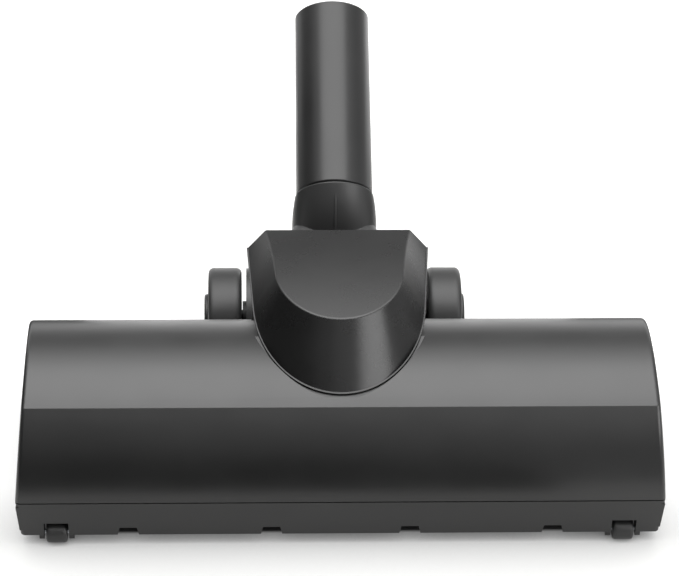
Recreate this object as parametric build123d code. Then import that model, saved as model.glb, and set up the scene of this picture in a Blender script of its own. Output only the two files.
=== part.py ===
"""Air-driven turbo floor brush head for a vacuum cleaner.

Sizes are millimetres. While a piece is modelled, X runs to the right, Y runs back from the
front face at the seam and Z runs up from the floor. On export everything moves back by half
the overall depth, so the finished part stands on the middle of its own footprint.
"""
import os
from math import asin, atan, atan2, cos, degrees, radians, sin, sqrt, tan

from build123d import *

# Housing
BODY_WIDTH = 280.0          # across the ends, at the seam
WALL = 2.5                  # moulded wall
SEAM_Z = 25.0               # joint between the two housings
SEAM_GAP = 0.6              # shadow groove at that joint
SOLE_Z = 6.0                # underside of the base above the floor
SOLE_THICK = 3.0
FRONT_LEAN = 1.0            # the base's front face leans in by this at the bottom
END_DRAFT_UP = 5.3          # degrees, cover ends
END_DRAFT_DOWN = 4.3        # degrees, base ends
END_FILLET = 2.0
CREASE_Y, CREASE_Z = 16.0, 65.0
CREASE_ROUND = 0.8
CROWN_Y, CROWN_Z = 45.8, 17.0   # centre of the half-round top
LIP_CLEAR, LIP_THICK, LIP_HEIGHT = 0.6, 1.4, 2.4

# Front edge of the base
NOTCH_INNER_X, NOTCH_OUTER_X = 30.0, 92.0
NOTCH_WIDTH, NOTCH_TOP_WIDTH, NOTCH_HEIGHT = 9.2, 7.4, 4.2
FRONT_BAR_DEPTH, FRONT_BAR_TOP = 14.0, 12.5
ROLLER_INSET = 17.0         # from the end of the body to the roller's middle
ROLLER_R, ROLLER_WIDTH, ROLLER_Y = 5.0, 9.0, 4.7
ROLLER_PIN_R, ROLLER_PIN_LENGTH = 1.2, 15.0
ROLLER_ROUND = 1.2
WELL_CLEAR, WELL_HEIGHT, WELL_WALL = 0.8, 7.0, 2.3

# Brush roll
BRUSH_Y, BRUSH_Z, BRUSH_R = 36.0, 29.0, 26.0
CORE_R = 11.5
JOURNAL_R, BUSH_R, BUSH_LENGTH = 4.0, 8.0, 5.5
RUN_CLEAR = 0.1             # shafts and pins in their bores
SEAT_CLEAR = 0.05           # pressed and seated pieces
BRUSH_END_CLEAR = 2.0       # journal end to the inside of the end wall
BRUSH_ROOM = 3.0            # running room round the bristles
TUFT_R, TUFT_DEPTH, TUFT_PITCH = 2.0, 2.5, 9.0
TUFT_TURN = 216.0           # degrees of helix from the middle of the core to its end
TUFT_START = 8.0            # first tuft from the middle

# Turbine and belt
TURBINE_Y, TURBINE_Z, TURBINE_R = 78.0, 62.0, 21.0
TURBINE_WIDTH, HUB_R, BLADE_COUNT, BLADE_THICK = 36.0, 6.0, 10, 1.6
DUCT_CLEAR, DUCT_WALL = 1.5, 2.0
SIDE_CLEAR, SIDE_WALL = 2.0, 2.5
SHAFT_R, TURBINE_BUSH_R = 2.5, 5.5
BELT_WIDTH, BELT_THICK, BELT_CLEAR = 4.0, 1.2, 0.15
BELT_PLAY = 0.3             # beside the belt, on each side
BRUSH_PULLEY_R, TURBINE_PULLEY_R = 12.0, 5.0
FLANGE_RISE, FLANGE_THICK = 2.0, 0.8
PULLEY_GAP = 0.5            # between the chamber and the pulley
DUCT_LEG_X = 19.5
CHANNEL_ROUND = 5.0         # outer edges of the air channel to the neck
CHANNEL_UP, CHANNEL_DOWN = 2.0, 20.5    # air passage above and below the tilt pivot

# Hood
HOOD_NOSE_Y = 21.0          # front of the rim
HOOD_FRONT_Y = 41.0         # front of the crowned top
HOOD_TAPER = 38.1           # degrees from upright, the bevel at the nose
RIM_HALF, RIM_CENTRE_Y, RIM_FLARE = 38.2, 75.0, 4.0   # nose half width, its middle, sides opening (degrees)
TOP_HALF, TOP_CENTRE_Y, TOP_FLARE = 27.2, 71.3, 3.3     # the same, just above the crowned top
TOP_ABOVE = 1.0             # that outline's height over the crown
HOOD_WALL = 2.4
HOOD_OVERHANG = 4.3         # rear face behind the body
RIM_SLOPE = 9.35            # degrees, the rim climbs towards the back
RIM_LIP, RIM_LIP_HEIGHT, RIM_ROUND = 0.35, 0.5, 0.25     # ledge round the foot of the bevel
TOP_ROUND = 1.2             # edge of the crowned top
RIM_GAP = 1.6               # shadow gap in the body's recess
RIM_DROP = 0.4              # recess floor below the rim
TOP_CROWN_R = 300.0
TOP_FRONT_SLOPE = 5.0       # degrees, slope of the crowned top at its front
SKIRT_INSET = 2.4
HOOD_FIT = 0.35
COLLAR_THICK, COLLAR_WIDTH = 2.5, 2.4

# Neck and pipe
PIVOT_BACK, PIVOT_Z = 11.6, 43.0    # tilt pivot behind the wheels' axle, and above the floor
DRUM_R, DRUM_HALF, DRUM_WALL = 22.0, 19.6, 2.4
DRUM_CLEAR = 0.6
DRUM_ROUND = 6.0
TRUNNION_R = 6.0
CHEEK_THICK, CHEEK_R = 4.5, 12.0
NECK_TILT = 62.0            # degrees, lower end of the elbow
NECK_RISE = 14.0            # from the pivot to the elbow's lower section
NECK_THIN = 13.5            # half depth of that section, so the neck clears the duct when upright
NECK_MID_HALF, NECK_MID_DEEP = 19.4, 16.4   # middle section of the elbow
NECK_LIP, NECK_ROUND = 0.5, 0.4     # the neck stands proud of the pipe, with a rounded edge
NECK_BEAD, NECK_BEAD_WIDTH = 0.35, 0.8       # moulded parting line up the middle
PIPE_TILT = 29.0            # degrees, the pipe at rest
PIPE_FOOT_BACK, PIPE_FOOT_UP = 13.7, 28.2   # from the pivot to the foot of the pipe
PIPE_R_FOOT, PIPE_R_MOUTH, PIPE_LENGTH = 17.75, 17.4, 94.5
PIPE_BORE_R, SOCKET_DEPTH = 16.0, 62.0
PIPE_STOP_R, PIPE_GAP = 14.0, 0.4
SPIGOT_LENGTH, SPIGOT_BORE_R = 24.0, 13.0
RING_AT, RING_WIDTH, RING_BITE, RING_CLEAR = 14.0, 2.6, 0.5, 0.25

# Tail and rear wheels
WHEEL_R, WHEEL_GAP = 22.0, 9.7      # rear wheel, and its distance behind the body
WHEEL_IN_X, WHEEL_WIDTH = 43.2, 15.4
TYRE_THICK, TYRE_ROUND = 2.6, 2.5
AXLE_R, AXLE_PLAY, AXLE_HEAD_R, AXLE_HEAD = 2.4, 0.2, 9.8, 1.7
BOSS_R, WHEEL_SIDE_CLEAR = 6.5, 0.5
TAIL_Z, TAIL_FLOOR, TAIL_REACH = 8.0, 3.0, 9.0
SHIELD_R, SHIELD_GAP = 21.8, 2.2    # round shield inside each wheel, and its gap to the wheel

# Fasteners and strip
SCREW_INNER_X, SCREW_OUTER_X, SCREW_Y = 62.0, 112.0, 84.0
SCREW_R, SCREW_HEAD_R, SCREW_HEAD, SCREW_LENGTH = 1.4, 3.6, 2.4, 27.0
SCREW_BOSS_R, SCREW_RECESS = 4.6, 2.0
STRIP_WIDTH, STRIP_DEPTH, STRIP_PROUD, STRIP_INSET = 6.0, 1.8, 1.4, 12.0
MOUTH_FRONT, MOUTH_REAR, MOUTH_ROUND = 15.0, 58.5, 4.0

# Values that follow from the sizes above
CROWN_R = sqrt((CROWN_Y - CREASE_Y) ** 2 + (CREASE_Z - CROWN_Z) ** 2)
BAND_R = (CREASE_Y ** 2 + (CREASE_Z - SEAM_Z) ** 2) / (2 * CREASE_Y)
REAR_Y = CROWN_Y + sqrt(CROWN_R ** 2 - (SEAM_Z - CROWN_Z) ** 2)
AXLE_Y = REAR_Y + WHEEL_GAP + WHEEL_R
PIVOT_Y = AXLE_Y + PIVOT_BACK
PIPE_FOOT_Y, PIPE_FOOT_Z = PIVOT_Y + PIPE_FOOT_BACK, PIVOT_Z + PIPE_FOOT_UP
HALF_WIDTH = BODY_WIDTH / 2
SOLE_TOP = SOLE_Z + SOLE_THICK
HOOD_REAR_Y = REAR_Y + HOOD_OVERHANG
TAPER = tan(radians(HOOD_TAPER))
SLOPE = tan(radians(RIM_SLOPE))
NOSE_Z = CROWN_Z + sqrt(CROWN_R ** 2 - (CROWN_Y - HOOD_NOSE_Y) ** 2)
HOOD_TOP_Z = NOSE_Z + (HOOD_FRONT_Y - HOOD_NOSE_Y) / TAPER
CROWN_TOP_Y = HOOD_FRONT_Y + TOP_CROWN_R * sin(radians(TOP_FRONT_SLOPE))
CROWN_TOP_Z = HOOD_TOP_Z + TOP_CROWN_R * (1 - cos(radians(TOP_FRONT_SLOPE)))
TOP_PLANE_Z = CROWN_TOP_Z + TOP_ABOVE
TOP_NOSE_Y = HOOD_FRONT_Y + TAPER * (TOP_PLANE_Z - HOOD_TOP_Z)
JOURNAL_END = HALF_WIDTH - WALL - BRUSH_END_CLEAR
BUSH_OUT_X = JOURNAL_END - 1.0
CORE_HALF = BUSH_OUT_X - BUSH_LENGTH - 1.5
TUFT_TWIST = TUFT_TURN / CORE_HALF
MOUTH_HALF = CORE_HALF + 1.0
ROLLER_X = HALF_WIDTH - ROLLER_INSET
PIPE_AXIS = (0.0, cos(radians(PIPE_TILT)), sin(radians(PIPE_TILT)))
MOUTH_Y = PIPE_FOOT_Y + PIPE_LENGTH * PIPE_AXIS[1]
DEPTH_BACK = MOUTH_Y + PIPE_R_MOUTH * PIPE_AXIS[2]
DEPTH_FRONT = min(0.0, ROLLER_Y - ROLLER_R)
MIDDLE_Y = (DEPTH_BACK + DEPTH_FRONT) / 2
CHEEK_IN_X = DRUM_HALF + DRUM_CLEAR
CHEEK_OUT_X = CHEEK_IN_X + CHEEK_THICK
DUCT_R = TURBINE_R + DUCT_CLEAR
DUCT_SIDE_IN = TURBINE_WIDTH / 2 + SIDE_CLEAR
DUCT_SIDE_OUT = DUCT_SIDE_IN + SIDE_WALL
BELT_X = DUCT_SIDE_OUT + PULLEY_GAP + FLANGE_THICK + BELT_PLAY + BELT_WIDTH / 2     # middle of the belt
FAR = 4 * BODY_WIDTH        # reach of cutting solids


# Building blocks
def x_rod(radius, x0, x1, y, z):
    """Round bar along X."""
    return Pos((x0 + x1) / 2, y, z) * Rot(0, 90, 0) * Cylinder(radius, abs(x1 - x0))


def box(x0, x1, y0, y1, z0, z1):
    """Block between two corners."""
    size = Box(x1 - x0, y1 - y0, z1 - z0)
    return Pos((x0 + x1) / 2, (y0 + y1) / 2, (z0 + z1) / 2) * size


def side_prism(face, x0, x1):
    """Side-view outline (y, z) extruded from x0 to x1."""
    return extrude(Plane.YZ.offset(x0) * face, amount=x1 - x0)


def plan_prism(face, z0, z1):
    """Plan outline (x, y) extruded from z0 to z1."""
    return extrude(Pos(0, 0, z0) * face, amount=z1 - z0)


def outline(points):
    """Closed polygon."""
    return make_face(Polyline(*points, close=True))


def both_sides(shape):
    """A solid and its mirror image across the middle plane."""
    return [shape, mirror(shape, about=Plane.YZ)]


# Housing forms
def body_profile():
    """Side view of the housing: a bowed band that starts upright, a crease and a half-round top."""
    bottom_z = SEAM_Z - 2 * WALL
    half_turn = asin((CREASE_Z - SEAM_Z) / BAND_R) / 2
    bow = (BAND_R * (1 - cos(half_turn)), SEAM_Z + BAND_R * sin(half_turn))
    crease = (CREASE_Y, CREASE_Z)
    edges = [
        Line((0, bottom_z), (0, SEAM_Z)),
        ThreePointArc((0, SEAM_Z), bow, crease),
        ThreePointArc(crease, (CROWN_Y, CROWN_Z + CROWN_R), (REAR_Y, SEAM_Z)),
        Line((REAR_Y, SEAM_Z), (REAR_Y, bottom_z)),
        Line((REAR_Y, bottom_z), (0, bottom_z)),
    ]
    return make_face(edges)


def end_limits(half, z_low, z_high, draft):
    """Front view of the housing between its drafted ends; `draft` leans in going up."""
    lean = tan(radians(draft))
    low, high = half - lean * (z_low - SEAM_Z), half - lean * (z_high - SEAM_Z)
    face = outline([(-low, z_low), (low, z_low), (high, z_high), (-high, z_high)])
    return extrude(Plane.XZ * face, amount=FAR / 2, both=True)


def cover_solid(inset=0.0):
    """The cover's full form above the seam, drawn in by `inset`, then open at the bottom."""
    top_z = CROWN_Z + CROWN_R + WALL
    face = offset(body_profile(), amount=-inset) if inset else body_profile()
    return side_prism(face, -FAR / 2, FAR / 2) & end_limits(
        HALF_WIDTH - inset, SEAM_Z - inset / 2, top_z, END_DRAFT_UP)


def base_solid(inset, z_low, z_high):
    """The base's form: the front leans in and the ends draw in towards the floor."""
    lean = FRONT_LEAN / (SEAM_Z - SOLE_Z)
    low_y, high_y = lean * (SEAM_Z - z_low) + inset, lean * (SEAM_Z - z_high) + inset
    face = outline([(low_y, z_low), (REAR_Y - inset, z_low), (REAR_Y - inset, z_high), (high_y, z_high)])
    return side_prism(face, -FAR / 2, FAR / 2) & end_limits(
        HALF_WIDTH - inset, z_low, z_high, -END_DRAFT_DOWN)


# Hood forms
RIM_PLANE = Plane(origin=(0, HOOD_NOSE_Y, NOSE_Z), x_dir=(1, 0, 0),
                  z_dir=(0, -sin(radians(RIM_SLOPE)), cos(radians(RIM_SLOPE))))


def hood_outline(half, nose_y, centre_y, flare, grow=0.0, stretch=1.0):
    """Elliptical nose and sides that open to the back; y runs from the rim's nose, times `stretch`.

    Returns the face and its half width at the rear.
    """
    across, along = half + grow, (centre_y - nose_y + grow) * stretch
    middle, rear = (centre_y - HOOD_NOSE_Y) * stretch, (HOOD_REAR_Y - HOOD_NOSE_Y) * stretch
    lean = tan(radians(flare)) / stretch
    turn = atan(lean * along / across)
    nose = EllipticalCenterArc((0, middle), across, along, 180 + degrees(turn),
                               arc_size=180 - 2 * degrees(turn))
    rear_x = across * cos(turn) + (rear - middle + along * sin(turn)) * lean
    edges = [nose, Line(nose @ 1, (rear_x, rear)), Line((rear_x, rear), (-rear_x, rear)),
             Line((-rear_x, rear), nose @ 0)]
    return make_face(edges), rear_x


def rim_outline(grow):
    """Outline of the rim on its sloping plane."""
    stretch = 1 / cos(radians(RIM_SLOPE))
    return RIM_PLANE * hood_outline(RIM_HALF, HOOD_NOSE_Y, RIM_CENTRE_Y, RIM_FLARE, grow, stretch)[0]


def hood_bevel(rim_inset, top_inset, crown_inset):
    """Bevel that twists from the rim's outline to the top's, under the crowned top."""
    top = hood_outline(TOP_HALF, TOP_NOSE_Y, TOP_CENTRE_Y, TOP_FLARE, -top_inset)[0]
    wedge = loft([rim_outline(-rim_inset), Pos(0, HOOD_NOSE_Y, TOP_PLANE_Z) * top], ruled=True)
    crown = x_rod(TOP_CROWN_R - crown_inset, -FAR / 8, FAR / 8, CROWN_TOP_Y, CROWN_TOP_Z - TOP_CROWN_R)
    return wedge & crown


def front_edges(shape):
    """Edges of the upper face, without the one at the rear."""
    top = max(shape.faces(), key=lambda face: face.area * face.normal_at().Z)
    return [e for e in top.edges() if e.center().Y < HOOD_REAR_Y - 1]


def above_rim(lower):
    """Everything above the rim plane, lowered by `lower`."""
    nose, tail = HOOD_NOSE_Y - FAR / 8, HOOD_NOSE_Y + FAR / 8
    z_nose, z_tail = NOSE_Z - lower - SLOPE * FAR / 8, NOSE_Z - lower + SLOPE * FAR / 8
    return side_prism(outline([(nose, z_nose), (tail, z_tail), (tail, FAR), (nose, FAR)]), -FAR / 8, FAR / 8)


def rim_plan(grow):
    """Plan of the rim, grown outwards, and its half width at the rear."""
    face, rear_x = hood_outline(RIM_HALF, HOOD_NOSE_Y, RIM_CENTRE_Y, RIM_FLARE, grow)
    return Pos(0, HOOD_NOSE_Y) * face, rear_x


def rim_prism(grow, z0=SEAM_Z, z1=None):
    """Upright prism on the rim's plan."""
    return plan_prism(rim_plan(grow)[0], z0, z1 if z1 else CROWN_TOP_Z + 10)


TAIL_HALF = rim_plan(-SKIRT_INSET)[1]
BRUSH_SPACE = x_rod(BRUSH_R + BRUSH_ROOM, -FAR / 4, FAR / 4, BRUSH_Y, BRUSH_Z)
DRUM_SPACE = x_rod(DRUM_R + DRUM_CLEAR, -CHEEK_IN_X, CHEEK_IN_X, PIVOT_Y, PIVOT_Z)
SCREW_PLACES = [(side * x, SCREW_Y) for side in (-1, 1) for x in (SCREW_INNER_X, SCREW_OUTER_X)]
SCREW_SEAT_Z = SOLE_Z + SCREW_RECESS + SCREW_HEAD


def make_upper_housing():
    """Cover: half-round shell with a U-shaped recess and collar for the hood."""
    full = cover_solid()
    ends = [e for e in full.edges() if abs(e.center().X) > HALF_WIDTH - 12 and e.center().Z > SEAM_Z + 1]
    full = fillet(ends, END_FILLET)
    crease = [e for e in full.edges() if e.length > HALF_WIDTH and abs(e.center().Z - CREASE_Z) < 1]
    full = fillet(crease, CREASE_ROUND)
    shell = full - cover_solid(WALL)
    collar = rim_prism(RIM_GAP + COLLAR_WIDTH) & above_rim(RIM_DROP + COLLAR_THICK) & full
    shell += collar
    shell -= rim_prism(RIM_GAP) & above_rim(RIM_DROP)
    for x, y in SCREW_PLACES:
        post = Pos(x, y, SEAM_Z + CROWN_R / 2) * Cylinder(SCREW_BOSS_R, CROWN_R)
        shell += post & full
    groove = box(-FAR, FAR, -FAR, FAR, SEAM_Z - 1, SEAM_Z + SEAM_GAP / 2)
    for x, y in SCREW_PLACES:
        groove -= Pos(x, y, SEAM_Z) * Cylinder(SCREW_BOSS_R, 4)
    shell -= groove
    shell -= rim_prism(HOOD_FIT - SKIRT_INSET, SEAM_Z - 1)
    tail_half = TAIL_HALF + HOOD_FIT
    shell -= box(-tail_half, tail_half, RIM_CENTRE_Y, REAR_Y + 5, SEAM_Z - 1, CROWN_TOP_Z)
    cap = box(BUSH_OUT_X - BUSH_LENGTH, HALF_WIDTH - WALL, BRUSH_Y - BUSH_R, BRUSH_Y + BUSH_R,
              BRUSH_Z, CREASE_Z)
    cap -= x_rod(BUSH_R + SEAT_CLEAR, 0, FAR, BRUSH_Y, BRUSH_Z)
    for piece in both_sides(cap & full):
        shell += piece
    for x, y in SCREW_PLACES:
        shell -= Pos(x, y, SEAM_Z + SCREW_LENGTH / 2) * Cylinder(SCREW_R + SEAT_CLEAR, SCREW_LENGTH + 2)
    return shell


def make_lower_housing():
    """Base tray with the brush mouth, roller wells, front notches and the tail with its cheeks."""
    tray = base_solid(0, SOLE_Z, SEAM_Z - SEAM_GAP / 2)
    corners = tray.edges().filter_by(lambda e: e.length < 2 * SEAM_Z and abs(e.center().X) > HALF_WIDTH - 8)
    upright = [e for e in corners if abs(e.center().Z - (SOLE_Z + SEAM_Z) / 2) < 3]
    tray = fillet(upright, END_FILLET)
    tray -= base_solid(WALL, FRONT_BAR_TOP, SEAM_Z + 1)
    tray -= base_solid(WALL, SOLE_TOP, SEAM_Z + 1) & box(-FAR, FAR, FRONT_BAR_DEPTH, FAR, 0, FAR)
    lip = base_solid(WALL + LIP_CLEAR, SOLE_TOP, SEAM_Z + LIP_HEIGHT)
    lip -= base_solid(WALL + LIP_CLEAR + LIP_THICK, SOLE_TOP - 1, SEAM_Z + LIP_HEIGHT + 1)
    lip -= box(-TAIL_HALF - 3, TAIL_HALF + 3, RIM_CENTRE_Y, FAR, 0, FAR)
    neck_in = base_solid(0, SOLE_TOP, SEAM_Z - SEAM_GAP / 2 - 2)
    tray += lip - box(-FAR, FAR, -FAR, FAR, 0, SOLE_TOP)
    tray += (neck_in - base_solid(WALL + LIP_CLEAR + LIP_THICK, SOLE_TOP - 1, SEAM_Z)) - box(
        -TAIL_HALF - 3, TAIL_HALF + 3, RIM_CENTRE_Y, FAR, 0, FAR)

    # walls that carry the hood's skirt, and the tail behind the body
    walls = rim_prism(-SKIRT_INSET, SOLE_TOP, SEAM_Z) - rim_prism(-SKIRT_INSET - HOOD_WALL, 0, SEAM_Z + 1)
    walls -= BRUSH_SPACE
    walls &= box(-FAR, FAR, BRUSH_Y, FAR, 0, FAR)
    tail_end = AXLE_Y + TAIL_REACH
    tail = box(-TAIL_HALF, TAIL_HALF, REAR_Y - WALL, tail_end, TAIL_Z, SEAM_Z)
    tail = fillet(tail.edges().filter_by(Axis.Z).group_by(Axis.Y)[-1], TAIL_REACH - 1)
    inside, floor_z = TAIL_HALF - HOOD_WALL, TAIL_Z + TAIL_FLOOR
    tail -= box(-inside, inside, 0, tail_end - HOOD_WALL, floor_z, FAR)
    tray -= box(-inside, inside, REAR_Y - WALL - 3, REAR_Y + 1, floor_z, FAR)
    tray += walls
    tray += tail

    # neck cheeks and wheel bosses
    foot_z = TAIL_Z + TAIL_FLOOR / 2
    cheek_face = outline([(AXLE_Y - CHEEK_R - 9, foot_z), (tail_end - 1, foot_z),
                          (PIVOT_Y + CHEEK_R, PIVOT_Z), (PIVOT_Y - CHEEK_R, PIVOT_Z)])
    cheek_face += Pos(PIVOT_Y, PIVOT_Z) * Circle(CHEEK_R)
    for piece in both_sides(side_prism(cheek_face, CHEEK_IN_X, CHEEK_OUT_X)):
        tray += piece
    shield = x_rod(SHIELD_R, TAIL_HALF - HOOD_WALL, WHEEL_IN_X - SHIELD_GAP, AXLE_Y, WHEEL_R)
    for piece in both_sides(shield & box(-FAR, FAR, 0, FAR, TAIL_Z, FAR)):
        tray += piece
    boss_end = WHEEL_IN_X - WHEEL_SIDE_CLEAR
    for piece in both_sides(x_rod(BOSS_R, CHEEK_IN_X, boss_end, AXLE_Y, WHEEL_R)):
        tray += piece
    tray -= DRUM_SPACE
    tray -= x_rod(TRUNNION_R + RUN_CLEAR, -CHEEK_OUT_X - 1, CHEEK_OUT_X + 1, PIVOT_Y, PIVOT_Z)
    for piece in both_sides(x_rod(AXLE_R + SEAT_CLEAR, CHEEK_IN_X + 3, boss_end + 1, AXLE_Y, WHEEL_R)):
        tray -= piece

    # brush bearing saddles and screw bosses
    saddle_half = BUSH_R + WALL
    saddle = box(BUSH_OUT_X - BUSH_LENGTH, BUSH_OUT_X, BRUSH_Y - saddle_half, BRUSH_Y + saddle_half,
                 SOLE_Z, BRUSH_Z)
    saddle -= x_rod(BUSH_R, 0, FAR, BRUSH_Y, BRUSH_Z)
    for piece in both_sides(saddle):
        tray += piece
    for x, y in SCREW_PLACES:
        tray += Pos(x, y, (SOLE_Z + SEAM_Z) / 2) * Cylinder(SCREW_BOSS_R, SEAM_Z - SOLE_Z)
    for x, y in SCREW_PLACES:
        tray -= Pos(x, y, SOLE_Z) * Cylinder(SCREW_R + 0.4, 4 * SEAM_Z)
        recess = Cylinder(SCREW_HEAD_R + 0.4, SCREW_SEAT_Z - SOLE_Z + 2)
        tray -= Pos(x, y, (SCREW_SEAT_Z + SOLE_Z - 2) / 2) * recess

    # brush mouth, felt groove, front notches and roller wells
    mouth = RectangleRounded(2 * MOUTH_HALF, MOUTH_REAR - MOUTH_FRONT, MOUTH_ROUND)
    tray -= plan_prism(Pos(0, (MOUTH_FRONT + MOUTH_REAR) / 2) * mouth, SOLE_Z - 1, SOLE_TOP + 1)
    tray -= strip_block(0.1, STRIP_DEPTH)
    notch = outline([(-NOTCH_WIDTH / 2, SOLE_Z), (-NOTCH_TOP_WIDTH / 2, SOLE_Z + NOTCH_HEIGHT),
                     (NOTCH_TOP_WIDTH / 2, SOLE_Z + NOTCH_HEIGHT), (NOTCH_WIDTH / 2, SOLE_Z)])
    channel = extrude(Plane.XZ * notch, amount=-(MOUTH_FRONT + 1))
    channel += Pos(0, -2, 0) * extrude(Plane.XZ * notch, amount=-4)
    for x in (-NOTCH_OUTER_X, -NOTCH_INNER_X, NOTCH_INNER_X, NOTCH_OUTER_X):
        tray -= Pos(x, 0, 0) * channel
    well_half = ROLLER_WIDTH / 2 + WELL_CLEAR
    well_back = ROLLER_Y + ROLLER_R + WELL_CLEAR
    well_top = SOLE_Z + WELL_HEIGHT
    block = box(ROLLER_X - well_half - WELL_WALL, ROLLER_X + well_half + WELL_WALL, FRONT_LEAN,
                well_back + WELL_WALL, SOLE_Z, well_top + WELL_WALL)
    pocket = box(ROLLER_X - well_half, ROLLER_X + well_half, -2, well_back, 0, well_top)
    pin_half = ROLLER_PIN_LENGTH / 2
    pin = x_rod(ROLLER_PIN_R + SEAT_CLEAR, ROLLER_X - pin_half, ROLLER_X + pin_half, ROLLER_Y, ROLLER_R)
    lug = box(ROLLER_X - well_half - WELL_WALL, ROLLER_X + well_half + WELL_WALL, ROLLER_Y - 2.5,
              ROLLER_Y + 2.5, ROLLER_R - 2.2, SOLE_Z + 1)
    for piece in both_sides(block + lug):
        tray += piece
    for piece in both_sides(pocket + pin):
        tray -= piece
    return tray


def strip_block(clear, depth):
    """Felt strip behind the brush mouth; `clear` widens it into its groove."""
    half = MOUTH_HALF - STRIP_INSET + clear
    front = MOUTH_REAR + WALL - clear
    low = SOLE_Z - STRIP_PROUD
    return box(-half, half, front, front + STRIP_WIDTH + 2 * clear, low, SOLE_Z + depth)


def make_turbine_hood():
    """Bevelled cover with a thin rim, an upright skirt and a rear wall with the duct's opening."""
    bevel = hood_bevel(RIM_LIP, 0, 0)
    bevel = fillet(front_edges(bevel), TOP_ROUND)
    ledge = extrude(rim_outline(0), amount=RIM_LIP_HEIGHT)
    ledge = fillet(front_edges(ledge), RIM_ROUND)
    skirt = rim_prism(-SKIRT_INSET) - above_rim(-RIM_LIP_HEIGHT / 2)
    shell = bevel + ledge + skirt
    inside = SKIRT_INSET + HOOD_WALL
    inner = hood_bevel(inside, HOOD_WALL / cos(radians(HOOD_TAPER)), HOOD_WALL)
    inner += rim_prism(-inside, SEAM_Z - 1) - above_rim(-RIM_LIP_HEIGHT / 2)
    inner &= box(-FAR, FAR, -FAR, HOOD_REAR_Y - HOOD_WALL, 0, FAR)
    shell -= inner
    shell -= BRUSH_SPACE
    half, low, high = duct_mouth(DUCT_WALL + 0.5)
    shell -= box(-half, half, RIM_CENTRE_Y, FAR / 4, SEAM_Z - 1, high)
    return shell


def duct_mouth(grow):
    """Half width, bottom and top of the air passage to the neck drum."""
    half = DRUM_HALF - DRUM_WALL - 2.2 + grow
    return half, PIVOT_Z - CHANNEL_DOWN - grow, PIVOT_Z + CHANNEL_UP + grow


def make_turbine_duct():
    """Drum-shaped turbine chamber with an inlet to the brush, an outlet channel and two legs."""
    outer_r = DUCT_R + DUCT_WALL
    shell = x_rod(outer_r, -DUCT_SIDE_OUT, DUCT_SIDE_OUT, TURBINE_Y, TURBINE_Z)
    half, low, high = duct_mouth(DUCT_WALL)
    front = TURBINE_Y - HUB_R
    channel = box(-half, half, front, PIVOT_Y, low, high)
    shell += fillet(channel.edges().filter_by(Axis.Y), CHANNEL_ROUND)
    leg = box(DUCT_LEG_X - 1.5, DUCT_LEG_X + 1.5, TURBINE_Y - 8, TURBINE_Y + 18, SOLE_TOP, TURBINE_Z - HUB_R)
    for piece in both_sides(leg):
        shell += piece
    shell -= x_rod(DUCT_R, -DUCT_SIDE_IN, DUCT_SIDE_IN, TURBINE_Y, TURBINE_Z)
    half, low, high = duct_mouth(0)
    shell -= box(-half, half, front + DUCT_WALL, PIVOT_Y + 1, low, high)
    shell -= x_rod(DRUM_R + DRUM_CLEAR, -FAR / 8, FAR / 8, PIVOT_Y, PIVOT_Z)
    shell -= box(-FAR / 8, FAR / 8, PIVOT_Y - DRUM_R * 0.35, FAR, 0, FAR)
    shell -= x_rod(TURBINE_BUSH_R + SEAT_CLEAR, -FAR / 8, FAR / 8, TURBINE_Y, TURBINE_Z)
    toward = degrees(atan2(BRUSH_Z - TURBINE_Z, BRUSH_Y - TURBINE_Y))
    inlet = Pos(0, TURBINE_Y, TURBINE_Z) * Rot(toward, 0, 0) * box(
        -DUCT_SIDE_IN + 2, DUCT_SIDE_IN - 2, DUCT_R - 4, DUCT_R + 8, -7, 7)
    return shell - inlet - BRUSH_SPACE


def make_brush_core():
    """Brush core with journals, belt pulley and a drilled hole for each tuft."""
    core = x_rod(CORE_R, -CORE_HALF, CORE_HALF, BRUSH_Y, BRUSH_Z)
    core += x_rod(JOURNAL_R, -JOURNAL_END, JOURNAL_END, BRUSH_Y, BRUSH_Z)
    for low, high, radius in belt_track(BRUSH_PULLEY_R):
        core += x_rod(radius, low, high, BRUSH_Y, BRUSH_Z)
    holes = [tuft for row in (0, 1) for tuft in tufts(row)]
    return core - holes


def belt_track(radius):
    """Pulley and its two flanges, as (x start, x end, radius)."""
    half = BELT_WIDTH / 2 + BELT_PLAY
    left, right = BELT_X - half, BELT_X + half
    return [(left, right, radius), (left - FLANGE_THICK, left, radius + FLANGE_RISE),
            (right, right + FLANGE_THICK, radius + FLANGE_RISE)]


def tufts(row):
    """One chevron row of bristle tufts, both halves, leaving the belt's track free."""
    made = []
    keep_out = BELT_WIDTH / 2 + FLANGE_THICK + TUFT_R + 1.5
    count = int((CORE_HALF - TUFT_START - TUFT_R - 1) / TUFT_PITCH) + 1
    for side in (-1, 1):
        for i in range(count):
            x = TUFT_START + i * TUFT_PITCH
            if side > 0 and abs(x - BELT_X) < keep_out:
                continue
            turn = 180 * row + TUFT_TWIST * x
            stem = extrude(RegularPolygon(TUFT_R, 6), amount=BRUSH_R - CORE_R + TUFT_DEPTH)
            stem = Pos(0, 0, CORE_R - TUFT_DEPTH) * stem
            made.append(Pos(side * x, BRUSH_Y, BRUSH_Z) * Rot(turn, 0, 0) * stem)
    return made


def make_drive_belt():
    """Flat belt round both pulleys."""
    return belt_loop(BELT_CLEAR + BELT_THICK) - belt_loop(BELT_CLEAR)


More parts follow.
